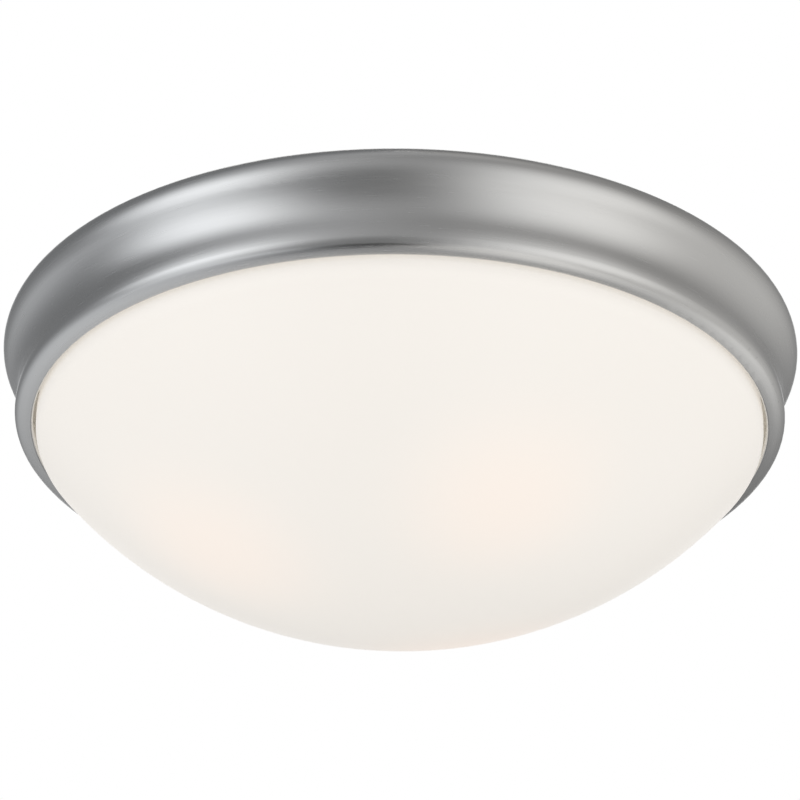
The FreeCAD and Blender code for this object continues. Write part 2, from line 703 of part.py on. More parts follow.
def make_holder_bracket():
    """Bent steel angle: leg behind the porcelain, foot under the back of the pan."""
    top = BACK_UNDER - LAMP_HEIGHT
    outer = HOLDER_REAR - BRACKET_SHEET
    points = [V(outer, 0, -9), V(outer, 0, top), V(outer + BRACKET_FOOT, 0, top)]
    bracket = strip(rounded(points, [2.4]), BRACKET_SHEET, BRACKET_WIDTH)
    half = BRACKET_WIDTH / 2
    corners = [e for e in bracket.Edges
               if e.Length < BRACKET_SHEET + 0.1 and abs(abs(e.CenterOfMass.y) - half) < 0.01]
    bracket = bracket.makeFillet(3.0, corners)
    cuts = [rod(V(outer - 1, 0, 0), V(outer + 3, 0, 0), REAR_SCREW_RADIUS + SCREW_FIT)]
    for along in FOOT_RIVETS:
        cuts.append(hole(along, 0, RIVET_RADIUS + CLEARANCE / 2, top - 3, top + 1))
    return bracket.cut(cuts)


def make_holder_screw():
    """Screw through the leg of the bracket into the rear of the porcelain."""
    seat = HOLDER_REAR - BRACKET_SHEET
    screw = laid_down(pan_head_screw(0, 0, 0, 7.0, REAR_SCREW_RADIUS, 3.6, 2.2))
    screw.translate(V(seat, 0, 0))
    return screw


# ---- catches -------------------------------------------------------------------------
def make_catch():
    """Leaf spring: foot under the back, leg outside the glass, nose in the glass's groove."""
    top = BACK_UNDER
    leg, leg_top, leg_foot = CATCH_LEG
    points = [
        point(CATCH_FOOT[0], top),
        point(CATCH_FOOT[1], top),
        point(leg, leg_top),
        point(leg, leg_foot),
        point(CATCH_NOSE, NECK_HEIGHT - 0.3),
        point(leg, CATCH_TAIL),
    ]
    leaf = strip(rounded(points, [6.0, 5.0, 3.0, 1.4]), CATCH_SHEET, CATCH_WIDTH)
    bore = RIVET_RADIUS + CLEARANCE / 2
    return leaf.cut([hole(radius, 0, bore, top - 3, top + 1) for radius in CATCH_RIVETS])


# ---- glass ---------------------------------------------------------------------------
def make_glass_dome():
    """Opal glass: crown, knuckle, upright skirt, neck groove and rolled lip, of even wall."""
    centre = -DOME_DEPTH + DOME_RADIUS
    knuckle_r = SKIRT_RADIUS - KNUCKLE_RADIUS
    spread = DOME_RADIUS - KNUCKLE_RADIUS
    meet = math.asin(knuckle_r / spread)
    knuckle_z = centre - spread * math.cos(meet)
    crown_end = (DOME_RADIUS * math.sin(meet), centre - DOME_RADIUS * math.cos(meet))
    pen = Pen(0, -DOME_DEPTH)
    pen.arc((0, centre), crown_end, clockwise=False)
    pen.arc((knuckle_r, knuckle_z), (SKIRT_RADIUS, knuckle_z), clockwise=False)
    points = [
        point(SKIRT_RADIUS, knuckle_z),
        point(SKIRT_RADIUS, SKIRT_TOP),
        point(NECK_RADIUS, NECK_HEIGHT),
        point(LIP_RADIUS, LIP_HEIGHT),
        point(LIP_RADIUS, GLASS_TOP),
    ]
    pen.follow(rounded(points, [3.2, 2.6, 3.2]))
    section = sheet_section(pen.edges, -GLASS_WALL)
    beyond_axis = box(V(0, -1, -DOME_DEPTH - 1), V(SKIRT_RADIUS + 1, 1, 0))
    section = section.common(beyond_axis)
    dome = section.revolve(V(0, 0, 0), UP, 360)
    rim = [e for e in dome.Edges if e.BoundBox.ZMin > GLASS_TOP - 0.01 and e.Length > 900]
    return dome.makeFillet(1.2, rim)


# ---- lamps ---------------------------------------------------------------------------
def make_lamp_globe():
    """Blown bulb: ball, hollow-sided neck and a short tube that the cap grips."""
    turn = math.radians(GLOBE_BREAK)
    slack = (GLOBE_RADIUS * math.sin(turn) - GLOBE_NECK) / (1 - math.sin(turn))
    reach = GLOBE_RADIUS + slack
    neck_centre = (reach * math.sin(turn), reach * math.cos(turn))
    pen = Pen(0, GLOBE_RADIUS)
    pen.arc((0, 0), (GLOBE_RADIUS * math.sin(turn), GLOBE_RADIUS * math.cos(turn)))
    pen.arc(neck_centre, (GLOBE_NECK, neck_centre[1]), clockwise=False)
    pen.line(GLOBE_NECK, neck_centre[1] - 3.0)
    section = sheet_section(pen.edges, GLOBE_WALL)
    section = section.common(box(V(0, -1, -100), V(60, 1, 60)))
    globe = laid_down(section.revolve(V(0, 0, 0), UP, 360))
    globe.translate(V(GLOBE_PLACE, 0, 0))
    return globe


def make_lamp_cap():
    """Aluminium screw cap: flared mouth round the neck, rolled thread, turned-in end."""
    corners = thread(CAP_RADIUS, THREAD_START, CAP_TURNS)
    points = [
        point(CAP_RADIUS + 0.4, CAP_MOUTH),
        point(CAP_RADIUS, CAP_MOUTH - 2.0),
        *corners,
        point(CAP_FOOT_RADIUS, CAP_END),
    ]
    radii = [1.0] + [THREAD_ROUNDING] * len(corners)
    cap = laid_down(spun(rounded(points, radii), CAP_SHEET))
    cap.translate(V(GLOBE_PLACE, 0, 0))
    return cap


def make_lamp_insulator():
    """Black glass button that closes the cap."""
    brim = CAP_FOOT_RADIUS
    pen = Pen(0, CAP_END + 2.0)
    pen.line(brim - 2.0, CAP_END + 2.0).line(brim - 0.3, CAP_END).line(brim, CAP_END - 0.4)
    pen.line(CONTACT_RADIUS + 0.8, INSULATOR_END).line(0, INSULATOR_END).close()
    button = laid_down(turned(pen.edges))
    button.translate(V(GLOBE_PLACE, 0, 0))
    return button


def make_lamp_contact():
    rise = INSULATOR_END - CONTACT_END
    ball = cap_ball(CONTACT_RADIUS, rise)
    pen = Pen(0, INSULATOR_END)
    pen.line(CONTACT_RADIUS, INSULATOR_END)
    pen.arc((0, CONTACT_END + ball), (0, CONTACT_END)).close()
    contact = laid_down(turned(pen.edges))
    contact.translate(V(GLOBE_PLACE, 0, 0))
    return contact


# ---- the assembly --------------------------------------------------------------------
def build_ceiling_side():
    save("pan", make_pan())
    save("insulation_pad", make_insulation_pad())
    save("mounting_crossbar", make_crossbar())
    save("mounting_screws", *make_mounting_screws())
    save("ground_screw", make_ground_screw())
    save("wire_bushing", make_wire_bushing())


def build_wiring():
    save("terminal_block", inside(make_terminal_block()))
    save("terminal_cages", *[inside(make_terminal_cage(side)) for side in (-1, 1)])
    save("terminal_screws", *[inside(screw) for screw in make_terminal_screws()])
    save("terminal_fixing_screw", inside(make_block_fixing_screw()))
    for name, route in LEAD_ROUTES.items():
        save(name, inside(make_lead(lead_points(*route))))
    save("lead_clips", *[inside(make_lead_clip(number)) for number in (1, 2)])


def build_lampholders():
    pieces = {
        "lampholder_body": make_holder_body(),
        "screw_shell": make_screw_shell(),
        "centre_contact": make_centre_contact(),
        "lampholder_bracket": make_holder_bracket(),
    }
    for number in range(LAMPS):
        for name, piece in pieces.items():
            save(name + "_" + str(number + 1), at_lamp(piece, number))
    screw = make_holder_screw()
    save("lampholder_screws", *[at_lamp(screw, number) for number in range(LAMPS)])
    under = BACK_UNDER - BRACKET_SHEET
    save("bracket_rivets", *[rivet(x, y, under) for x, y in bracket_rivet_places()])


def build_catches():
    catch = make_catch()
    for number in range(LAMPS):
        save("glass_catch_" + str(number + 1), inside(catch, CATCH_FIRST + number * TURN))
    under = BACK_UNDER - CATCH_SHEET
    save("catch_rivets", *[rivet(x, y, under) for x, y in catch_rivet_places()])


def build_lamps():
    pieces = {
        "lamp_globe": make_lamp_globe(),
        "lamp_cap": make_lamp_cap(),
        "lamp_insulator": make_lamp_insulator(),
        "lamp_contact": make_lamp_contact(),
    }
    for number in range(LAMPS):
        for name, piece in pieces.items():
            save(name + "_" + str(number + 1), at_lamp(piece, number))


os.makedirs("parts", exist_ok=True)
build_ceiling_side()
build_wiring()
build_lampholders()
build_catches()
save("glass_dome", make_glass_dome())
build_lamps()
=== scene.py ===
# %% [markdown]
# # A flush mount ceiling light, dressed for its photograph
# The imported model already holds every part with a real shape: the spun metal pan, the opal
# glass, the lamps, their holders and the wiring. This lesson gives each of them its finish,
# adds the fine forms that only the eye needs, and sets up the studio.

# %% Load the frame
import math

import bmesh
import bpy
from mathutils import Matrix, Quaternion, Vector, noise


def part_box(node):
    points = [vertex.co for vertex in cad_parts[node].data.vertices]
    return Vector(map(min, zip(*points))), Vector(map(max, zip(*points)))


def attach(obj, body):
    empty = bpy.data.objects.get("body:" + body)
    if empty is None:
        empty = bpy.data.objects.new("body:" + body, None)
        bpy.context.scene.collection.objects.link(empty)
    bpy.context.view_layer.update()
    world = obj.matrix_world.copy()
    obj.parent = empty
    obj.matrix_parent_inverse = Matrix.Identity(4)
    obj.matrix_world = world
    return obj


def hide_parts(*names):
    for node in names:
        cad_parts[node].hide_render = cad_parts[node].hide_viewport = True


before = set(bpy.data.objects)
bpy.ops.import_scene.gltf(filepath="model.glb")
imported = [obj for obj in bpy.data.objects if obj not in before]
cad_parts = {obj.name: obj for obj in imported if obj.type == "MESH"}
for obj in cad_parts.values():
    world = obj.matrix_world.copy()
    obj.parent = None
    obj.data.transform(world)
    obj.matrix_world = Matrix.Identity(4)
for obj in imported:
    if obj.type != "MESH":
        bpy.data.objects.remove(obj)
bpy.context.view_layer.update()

# %% [markdown]
# The camera of the photograph stands a good two and a half metres away, below the light, and
# looks up at it with a long lens, so the rim is nearly the same ellipse at the front and at
# the back. A camera can be placed by hand until it looks right. Here the ellipses of the rim
# and of the glass were measured instead, and they give the height angle and the distance.
# The picture also hangs a little out of level, which a small turn about the line of sight
# repeats.

# %% The camera
rim_centre = Vector((0.0, 0.0, -0.0496))
look_up = math.radians(27.74)
distance = 2.514
aim_above_rim = math.radians(0.368)
camera_roll = math.radians(0.587)
sensor_mm = 36.0
focal_length_mm = 236.9
farthest = 60.0

camera_data = bpy.data.cameras.new("photo_camera")
camera_data.sensor_width = sensor_mm
camera_data.lens = focal_length_mm
camera_data.clip_end = farthest
camera = bpy.data.objects.new("photo_camera", camera_data)
bpy.context.scene.collection.objects.link(camera)
camera.location = rim_centre - distance * Vector((0.0, math.cos(look_up), math.sin(look_up)))
view_angle = look_up + aim_above_rim
view_line = Vector((0.0, math.cos(view_angle), math.sin(view_angle)))
camera.rotation_mode = "QUATERNION"
camera.rotation_quaternion = (
    view_line.to_track_quat("-Z", "Y") @ Quaternion((0.0, 0.0, 1.0), camera_roll)
)
bpy.context.scene.camera = camera
print("camera at", [round(c, 3) for c in camera.location])

# %% [markdown]
# Colours are noted the way a screen shows them, as sRGB hex values, because that is how a
# maker reads them off a sample. The shader wants linear light, so one function turns them.

# %% Colours and nodes
def linear(hex_colour):
    """An sRGB hex colour as linear red, green, blue and alpha."""
    channels = [int(hex_colour[i:i + 2], 16) / 255 for i in (1, 3, 5)]
    curved = [c / 12.92 if c <= 0.04045 else ((c + 0.055) / 1.055) ** 2.4 for c in channels]
    return (*curved, 1.0)


def add(tree, kind, inputs=None, **settings):
    """Adds a node, gives it its settings, and fills its inputs with values or links."""
    made = tree.nodes.new(kind)
    for name, value in settings.items():
        setattr(made, name, value)
    for name, value in (inputs or {}).items():
        socket = made.inputs[name]
        if isinstance(value, bpy.types.NodeSocket):
            tree.links.new(value, socket)
        else:
            socket.default_value = value
    return made


def finish_of(name, colour, metallic=0.0, roughness=0.5, **more):
    """Starts a finish: a new material with its shader, which the caller then details."""
    made = bpy.data.materials.new(name)
    made.use_nodes = True
    shader = made.node_tree.nodes["Principled BSDF"]
    shader.inputs["Base Color"].default_value = linear(colour)
    shader.inputs["Metallic"].default_value = metallic
    shader.inputs["Roughness"].default_value = roughness
    for socket, value in more.items():
        shader.inputs[socket.replace("_", " ")].default_value = value
    return made, made.node_tree, shader


def per_mm(size_mm):
    """The scale that makes one cell of a pattern this many millimetres wide."""
    return 1000.0 / size_mm


def wear(material, *nodes):
    """Gives a finish to solids that came with the frame."""
    for node in nodes:
        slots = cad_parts[node].data.materials
        if not slots:
            slots.append(material)
        for index in range(len(slots)):
            slots[index] = material


print("grey #808080 is", round(linear("#808080")[0], 3), "in linear light")

# %% [markdown]
# The studio is a pale floor far below the hanging light, and a white background that the
# camera sees past it. A backdrop could be built as a bent sheet, but then it would hide the
# light from some sides. A white world that only looks white, and lights less than it shows,
# does the same from every side. The floor is painted matt, so it shows no reflection. The
# camera sees most of its paint as plain white, and the rest of it still takes the shadow.

# %% The floor and the white background
scene = bpy.context.scene
scene.view_settings.view_transform = "Standard"
room_level = 0.80
white_level = 1.0

world = bpy.data.worlds.new("white_background")
scene.world = world
world.use_nodes = True
sky = world.node_tree
sky.nodes.clear()
path = add(sky, "ShaderNodeLightPath")
seen_directly = add(sky, "ShaderNodeMath", {0: path.outputs["Is Camera Ray"],
                                            1: path.outputs["Is Glossy Ray"]},
                    operation="MAXIMUM")
seen = add(sky, "ShaderNodeMath", {0: seen_directly.outputs[0],
                                   1: path.outputs["Is Transmission Ray"]},
           operation="MAXIMUM")
room_light = add(sky, "ShaderNodeBackground", {"Color": linear("#ffffff"),
                                               "Strength": room_level})
white = add(sky, "ShaderNodeBackground", {"Color": linear("#ffffff"),
                                          "Strength": white_level})
either = add(sky, "ShaderNodeMixShader", {0: seen.outputs[0], 1: room_light.outputs[0],
                                          2: white.outputs[0]})
add(sky, "ShaderNodeOutputWorld", {"Surface": either.outputs[0]})

floor_depth = -4.5
floor_reach = 30.0
floor_brightness = 0.98
floor_whiteness = 0.85
floor_mesh = bpy.data.meshes.new("studio_floor")
builder = bmesh.new()
bmesh.ops.create_grid(builder, x_segments=8, y_segments=8, size=floor_reach)
builder.to_mesh(floor_mesh)
builder.free()
floor = bpy.data.objects.new("studio_floor", floor_mesh)
floor.location.z = floor_depth
scene.collection.objects.link(floor)
paint, tree, shader = finish_of("pale_floor_paint", "#f4f3f1", roughness=0.8)
path = add(tree, "ShaderNodeLightPath")
pale = add(tree, "ShaderNodeEmission", {"Color": linear("#ffffff"),
                                        "Strength": floor_brightness})
share = add(tree, "ShaderNodeMath", {0: path.outputs["Is Camera Ray"], 1: floor_whiteness},
            operation="MULTIPLY")
both = add(tree, "ShaderNodeMixShader", {0: share.outputs[0], 1: shader.outputs[0],
                                         2: pale.outputs[0]})
tree.links.new(both.outputs[0], tree.nodes["Material Output"].inputs["Surface"])
floor_mesh.materials.append(paint)
print("floor", -floor_depth, "m below the ceiling")

# %% [markdown]
# A metal rim shows whatever stands around it, so its looks are built out of cards. Two
# large soft boxes, left and right of the camera, make the two bright bands on the curved
# rim. A few paler things stand lower down and behind, a card of painted shade darkens
# the view straight below on the left, and dull grey stands everywhere else. Each card
# could be an object of its own. Here they are painted on one shell, because a card with
# a soft edge needs a gradient anyway.
# Only mirror rays see the shell, so it lights nothing and the camera can move anywhere. It
# is open at the back, where the rim picks up the white background at its edges.

# %% The cards around the rim
# azimuth from the camera's side, height angle, half width, half height, brightness
cards = {
    "soft_box_left": (-54, -3, 25, 34, 0.92),
    "glow_over_left_box": (-36, 29, 43, 38, 0.24),
    "soft_box_right": (46, -18, 30, 57, 0.78),
    "pale_ceiling_in_front": (35, 75, 75, 17, 0.21),
    "table_left": (-72, -59, 28, 30, 0.59),
    "table_right": (94, -73, 73, 14, 0.43),
    # painted shade: a card with less than no brightness, where the view straight down on the
    # left holds only shade
    "shade_below_left": (-55, -81, 75, 13, -0.50),
    "pale_wall_behind": (181, 33, 20, 13, 1.27),
    "pale_wall_right": (106, -29, 38, 65, 0.39),
    "floor_behind_right": (137, -34, 19, 17, 0.36),
    "floor_behind_left": (-132, -41, 36, 44, 0.45),
}
grey_level = 0.20
darkest = 0.02
card_edge = 2.74


def card_light(azimuth, elevation):
    """How bright the studio is in one direction, in degrees."""
    light = grey_level
    for at, height, half_width, half_height, brightness in cards.values():
        aside = abs((azimuth - at + 180) % 360 - 180) / half_width
        upwards = abs(elevation - height) / half_height
        light += brightness * math.exp(-aside ** card_edge - upwards ** card_edge)
    return max(light, darkest)


def card_tint(azimuth):
    """Red, green and blue of the light: cooler on the left, warmer on the right."""
    lean = math.sin(math.radians(azimuth))
    return (0.985 + 0.022 * lean, 0.998 + 0.003 * lean, 1.015 - 0.026 * lean)


shell_radius = 2.0
step = 4
lowest, highest = -88, 88
open_azimuths = range(160, 200)
open_elevations = range(8, 56)
shell_mesh = bpy.data.meshes.new("card_shell")
builder = bmesh.new()
paint_layer = builder.verts.layers.float_color.new("card_light")
rows = []
for elevation in range(lowest, highest + 1, step):
    row = []
    for azimuth in range(0, 360, step):
        around, up = math.radians(azimuth), math.radians(elevation)
        corner = builder.verts.new((shell_radius * math.cos(up) * math.sin(around),
                                    -shell_radius * math.cos(up) * math.cos(around),
                                    shell_radius * math.sin(up)))
        light = card_light(azimuth, elevation)
        corner[paint_layer] = (*(light * c for c in card_tint(azimuth)), 1.0)
        row.append(corner)
    rows.append(row)
for level, (low, high) in enumerate(zip(rows, rows[1:])):
    for i in range(len(low)):
        if i * step in open_azimuths and lowest + level * step in open_elevations:
            continue
        j = (i + 1) % len(low)
        builder.faces.new((low[i], low[j], high[j], high[i]))
builder.to_mesh(shell_mesh)
builder.free()
shell = bpy.data.objects.new("card_shell", shell_mesh)
scene.collection.objects.link(shell)
for kind in ("camera", "diffuse", "transmission", "volume_scatter", "shadow"):
    setattr(shell, "visible_" + kind, False)
card_paper = bpy.data.materials.new("card_paper")
card_paper.use_nodes = True
tree = card_paper.node_tree
tree.nodes.clear()
painted = add(tree, "ShaderNodeVertexColor", layer_name="card_light")
glow = add(tree, "ShaderNodeEmission", {"Color": painted.outputs["Color"]})
add(tree, "ShaderNodeOutputMaterial", {"Surface": glow.outputs[0]})
shell_mesh.materials.append(card_paper)
print("brightest card", round(max(card_light(a, 0) for a in range(0, 360, step)), 2))

# %% [markdown]
# The shell shows in the metal but lights nothing. The light that falls on glass and enamel
# comes from two soft boxes that stand where the painted ones are, and from the room. They
# are hidden from mirror rays, or the rim would show each of them twice.

# %% The soft boxes
def soft_box(name, azimuth, away, low, high, width, brightness, tint):
    """A rectangle of light that faces the light fitting; azimuth 0 is the camera's side."""
    around = math.radians(azimuth)
    lamp = bpy.data.lights.new(name, "AREA")
    lamp.shape = "RECTANGLE"
    lamp.size = width
    lamp.size_y = high - low
    lamp.energy = brightness * math.pi * lamp.size * lamp.size_y
    lamp.color = linear(tint)[:3]
    stand = bpy.data.objects.new(name, lamp)
    toward = Vector((math.sin(around), -math.cos(around), 0.0))
    stand.location = toward * away + Vector((0.0, 0.0, (low + high) / 2))
    stand.rotation_mode = "QUATERNION"
    stand.rotation_quaternion = toward.to_track_quat("Z", "Y")
    stand.visible_camera = False
    stand.visible_glossy = False
    scene.collection.objects.link(stand)
    return lamp


left = soft_box("soft_box_left", -54, 1.45, -1.35, 0.85, 1.25, 0.36, "#fafcff")
right = soft_box("soft_box_right", 50, 1.45, -1.6, 0.85, 1.35, 0.30, "#fffcf6")
print("lamps:", round(left.energy, 1), "W and", round(right.energy, 1), "W")

# %% [markdown]
# The pan is spun from sheet steel. Its outside is plated with satin nickel: while the part
# still turns on the lathe, a fine abrasive is held against it, so hair-thin lines run round
# the rim. They pull every reflection out across the lines, which is why the bright bands
# have no edge. The inside is sprayed with white enamel that throws the lamps' light down. It
# is glossy, with the faint waves of sprayed paint, 2.5 mm from one to the next.
# The lines could be modelled, but they are thinner than a pixel. The shader stretches its
# roughness about the axis instead, and a noise that hardly changes on the way round gives
# the lines themselves, drawn about 0.5 mm wide so that they show.

# %% Satin nickel outside, white enamel inside
metal, tree, nickel = finish_of("brushed_satin_nickel", "#dad9d7", metallic=1.0, roughness=0.24,
                                Anisotropic=0.3, Anisotropic_Rotation=0.25)
place = add(tree, "ShaderNodeTexCoord")
axes = add(tree, "ShaderNodeSeparateXYZ", {0: place.outputs["Object"]})
flat = add(tree, "ShaderNodeCombineXYZ", {0: axes.outputs["X"], 1: axes.outputs["Y"]})
radius = add(tree, "ShaderNodeVectorMath", {0: flat.outputs[0]}, operation="LENGTH")
heading = add(tree, "ShaderNodeVectorMath", {0: flat.outputs[0]}, operation="NORMALIZE")
line_width_mm = 0.5
line_breaks = 9.0
line_height = 0.0002
smoothest, dullest = 0.20, 0.28
turned = add(tree, "ShaderNodeVectorMath", {0: heading.outputs[0], 1: (line_breaks,) * 3},
             operation="MULTIPLY")
turned_axes = add(tree, "ShaderNodeSeparateXYZ", {0: turned.outputs[0]})
across = add(tree, "ShaderNodeMath", {0: radius.outputs["Value"], 1: per_mm(line_width_mm)},
             operation="MULTIPLY")
along = add(tree, "ShaderNodeMath", {0: axes.outputs["Z"], 1: per_mm(line_width_mm)},
            operation="MULTIPLY")
brush_place = add(tree, "ShaderNodeCombineXYZ", {0: turned_axes.outputs["X"],
                                                 1: turned_axes.outputs["Y"],
                                                 2: across.outputs[0]})
lines = add(tree, "ShaderNodeTexNoise", {"Vector": brush_place.outputs[0],
                                         "W": along.outputs[0], "Scale": 1.0, "Detail": 3.0,
                                         "Roughness": 0.6}, noise_dimensions="4D")
uneven = add(tree, "ShaderNodeMapRange", {"Value": lines.outputs["Fac"], "From Min": 0.3,
                                          "From Max": 0.7, "To Min": smoothest,
                                          "To Max": dullest})
tree.links.new(uneven.outputs[0], nickel.inputs["Roughness"])
bump = add(tree, "ShaderNodeBump", {"Height": lines.outputs["Fac"], "Strength": 0.06,
                                    "Distance": line_height})
tree.links.new(bump.outputs[0], nickel.inputs["Normal"])
around_axis = add(tree, "ShaderNodeTangent", direction_type="RADIAL", axis="Z")
tree.links.new(around_axis.outputs[0], nickel.inputs["Tangent"])

enamel_grain_mm = 2.5
enamel = add(tree, "ShaderNodeBsdfPrincipled", {"Base Color": linear("#f3f2ee"),
                                                "Roughness": 0.22, "IOR": 1.52})
orange_peel = add(tree, "ShaderNodeTexNoise", {"Vector": place.outputs["Object"],
                                               "Scale": per_mm(enamel_grain_mm),
                                               "Detail": 1.0})
peel_bump = add(tree, "ShaderNodeBump", {"Height": orange_peel.outputs["Fac"],
                                         "Strength": 0.06, "Distance": 0.0003})
tree.links.new(peel_bump.outputs[0], enamel.inputs["Normal"])
print("brush lines", line_width_mm, "mm wide")

# %% [markdown]
# One sheet carries both finishes, so the shader has to know which face it is on. A face of
# the outside looks away from a ring that runs round inside the hollow rim, and a face of
# the inside looks towards it. On the flat back, up is outside and down is inside.

# %% Outside or inside
ring_radius = 0.165
ring_height = -0.025
shape = add(tree, "ShaderNodeNewGeometry")
facing = add(tree, "ShaderNodeSeparateXYZ", {0: shape.outputs["True Normal"]})
outward = add(tree, "ShaderNodeVectorMath", {0: shape.outputs["True Normal"],
                                             1: heading.outputs[0]}, operation="DOT_PRODUCT")
past_ring = add(tree, "ShaderNodeMath", {0: radius.outputs["Value"], 1: ring_radius},
                operation="SUBTRACT")
past_ring_only = add(tree, "ShaderNodeMath", {0: past_ring.outputs[0], 1: 0.0},
                     operation="MAXIMUM")
above_ring = add(tree, "ShaderNodeMath", {0: axes.outputs["Z"], 1: ring_height},
                 operation="SUBTRACT")
sideways = add(tree, "ShaderNodeMath", {0: outward.outputs["Value"],
                                        1: past_ring_only.outputs[0]}, operation="MULTIPLY")
upright = add(tree, "ShaderNodeMath", {0: facing.outputs["Z"], 1: above_ring.outputs[0],
                                       2: sideways.outputs[0]}, operation="MULTIPLY_ADD")
is_inside = add(tree, "ShaderNodeMath", {0: upright.outputs[0], 1: 0.0}, operation="LESS_THAN")
sheet = add(tree, "ShaderNodeMixShader", {0: is_inside.outputs[0], 1: nickel.outputs[0],
                                          2: enamel.outputs[0]})
tree.links.new(sheet.outputs[0], tree.nodes["Material Output"].inputs["Surface"])
wear(metal, "pan")

# %% [markdown]
# The rim was turned round one axis, so every point of a ring on it faces straight away from
# that axis. Its mesh is triangles between such rings, and the directions that it carries are
# averages over thin triangles. On a satin metal these show as a row of teeth along the bead.
# A finer mesh would cost many faces. The right direction can be worked out instead: a circle
# through three neighbouring rings of the profile gives the slope at the middle one. A hidden
# copy of the sheet holds those directions and lends them to the rim, and no point moves.

# %% True directions round the rim
sheet_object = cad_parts["pan"]
guide_mesh = sheet_object.data.copy()
guide_mesh.name = "rim_directions"
directions = [corner.vector.copy() for corner in guide_mesh.corner_normals]
outer_from = 0.176
rim_top, rim_bottom = -0.005, -0.0511
neighbour_above = 0.001
same_ring = 0.0001
turned_out = 0.1
same_side = 0.2
corner_rings = {}
facing_out = set()
for corner, loop in enumerate(guide_mesh.loops):
    point = guide_mesh.vertices[loop.vertex_index].co
    reach = math.hypot(point.x, point.y)
    if reach < outer_from or point.z > rim_top + neighbour_above:
        continue
    outwards = (directions[corner].x * point.x + directions[corner].y * point.y) / reach
    corner_rings[corner] = (round(-point.z, 5), round(reach, 5))
    if outwards > turned_out:
        facing_out.add(corner_rings[corner])
profile_rings = sorted(facing_out)


def slope_at(ring):
    """The direction, outwards and up, in which the rim faces at one ring of its profile."""
    depth, reach = ring
    apart = [other for other in profile_rings if math.dist(other, ring) > same_ring]
    above = [other for other in apart if other[0] < depth]
    below = [other for other in apart if other[0] > depth]
    if not above or not below:
        return None
    first = Vector((reach - above[-1][1], above[-1][0] - depth))
    second = Vector((below[0][1] - reach, depth - below[0][0]))
    along = first.normalized() * second.length + second.normalized() * first.length
    return Vector((-along.y, along.x)).normalized()


slopes = {ring: slope_at(ring) for ring in profile_rings}
corrected = 0
for corner, ring in corner_rings.items():
    slope = slopes.get(ring)
    point = guide_mesh.vertices[guide_mesh.loops[corner].vertex_index].co
    if slope is None or not rim_bottom < point.z < rim_top:
        continue
    reach = math.hypot(point.x, point.y)
    true_one = Vector((slope.x * point.x / reach, slope.x * point.y / reach, slope.y))
    if true_one.dot(directions[corner]) > same_side:
        directions[corner] = true_one
        corrected += 1
guide_mesh.normals_split_custom_set(directions)
guide = bpy.data.objects.new("rim_directions", guide_mesh)
scene.collection.objects.link(guide)
guide.hide_render = True
lend = sheet_object.modifiers.new("true_directions", "DATA_TRANSFER")
lend.object = guide
lend.use_object_transform = False
lend.use_loop_data = True
lend.data_types_loops = {"CUSTOM_NORMAL"}
lend.loop_mapping = "TOPOLOGY"
print("rings on the rim", len(profile_rings), "directions put right", corrected)
print("pan dressed,", len(sheet_object.data.polygons), "faces")

# %% [markdown]
# The bowl is opal glass: a clear glass with milky particles in it, blown into a mould and
# then dipped in acid, so the outside is satin. It hides the lamps but not their warmth, and
# a faint warm spot shows under each one. Real scattering inside the wall could be
# simulated. A soft white with a light of its own looks the same at this distance and keeps
# clean. The glass itself is written a little grey, because the glow adds the rest. The warm
# spots lie on the bowl below the three lamps, half as far out again as the bulbs' middles.
# The acid leaves a gloss that is uneven from one half-centimetre to the next.

# %% Satin opal glass
opal, tree, shader = finish_of("satin_opal_glass", "#dad7d3", roughness=0.42, IOR=1.52,
                               Specular_IOR_Level=0.35)
place = add(tree, "ShaderNodeTexCoord")
lamp_ring = 0.0612
lamp_headings = (-76.0, 34.0, 158.0)
lamp_places = [(lamp_ring * math.sin(math.radians(a)), -lamp_ring * math.cos(math.radians(a)))
               for a in lamp_headings]
outwards_by = 1.55
spot_height = -0.136
spot_reach = 0.085
spot_glow = 0.07
even_glow = 0.327
spots = None
for x, y in lamp_places:
    under_lamp = Vector((x * outwards_by, y * outwards_by, spot_height))
    apart = add(tree, "ShaderNodeVectorMath", {0: place.outputs["Object"], 1: under_lamp},
                operation="DISTANCE")
    spot = add(tree, "ShaderNodeMapRange", {"Value": apart.outputs["Value"], "From Min": 0.0,
                                            "From Max": spot_reach, "To Min": spot_glow,
                                            "To Max": 0.0},
               interpolation_type="SMOOTHERSTEP")
    spots = spot if spots is None else add(tree, "ShaderNodeMath", {0: spots.outputs[0],
                                                                    1: spot.outputs[0]})
strength = add(tree, "ShaderNodeMath", {0: spots.outputs[0], 1: even_glow})
tree.links.new(strength.outputs[0], shader.inputs["Emission Strength"])
warmth = add(tree, "ShaderNodeMapRange", {"Value": spots.outputs[0],
                                          "From Max": spot_glow})
glow_colour = add(tree, "ShaderNodeValToRGB", {0: warmth.outputs[0]})
glow_colour.color_ramp.elements[0].color = linear("#fff9f1")
glow_colour.color_ramp.elements[1].color = linear("#ffebdc")
tree.links.new(glow_colour.outputs[0], shader.inputs["Emission Color"])
etch_patch_mm = 6.0
etched = add(tree, "ShaderNodeTexNoise", {"Vector": place.outputs["Object"],
                                          "Scale": per_mm(etch_patch_mm), "Detail": 4.0})
etch_range = add(tree, "ShaderNodeMapRange", {"Value": etched.outputs["Fac"], "From Min": 0.3,
                                              "From Max": 0.7, "To Min": 0.38, "To Max": 0.46})
tree.links.new(etch_range.outputs[0], shader.inputs["Roughness"])
wear(opal, "glass_dome")
print("lamp places:", [tuple(round(1000 * c) for c in p) for p in lamp_places], "mm")

